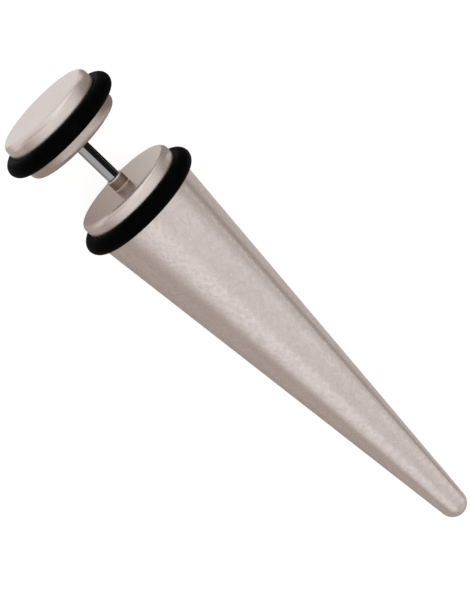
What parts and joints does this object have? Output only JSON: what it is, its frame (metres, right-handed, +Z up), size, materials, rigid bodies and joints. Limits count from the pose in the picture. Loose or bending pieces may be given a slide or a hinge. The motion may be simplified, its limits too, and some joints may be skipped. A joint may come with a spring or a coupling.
{
  "type": "faux taper earring",
  "caption": "Faux taper earring: a long conical head and a flat disc on a slim screw post, each head with a black rubber ring.",
  "frame": {"origin": "on the ground below the centre of the bounding box of the whole earring as it lies", "axes": "+Z is up, +X runs along the earring towards the tip, and the earring's own axis dips 6.8 degrees below +X because it rests on its larger rubber ring and its tip"},
  "size_m": [0.0516, 0.0118, 0.0127],
  "materials": {
    "champagne_plating": "satin champagne plating with a fine pearly grain",
    "polished_steel": "mirror polished surgical steel",
    "black_rubber": "smooth black rubber with a faint sheen"
  },
  "bodies": {
    "head": {"taper": "champagne_plating", "taper_o_ring": "black_rubber"},
    "front": {"post": "polished_steel", "disc": "champagne_plating", "disc_o_ring": "black_rubber"}
  },
  "joints": [
    {"name": "unscrew", "type": "slide", "parent": "head", "child": "front", "axis": [-0.993, 0, 0.1185], "range_m": [0, 0.009]}
  ]
}
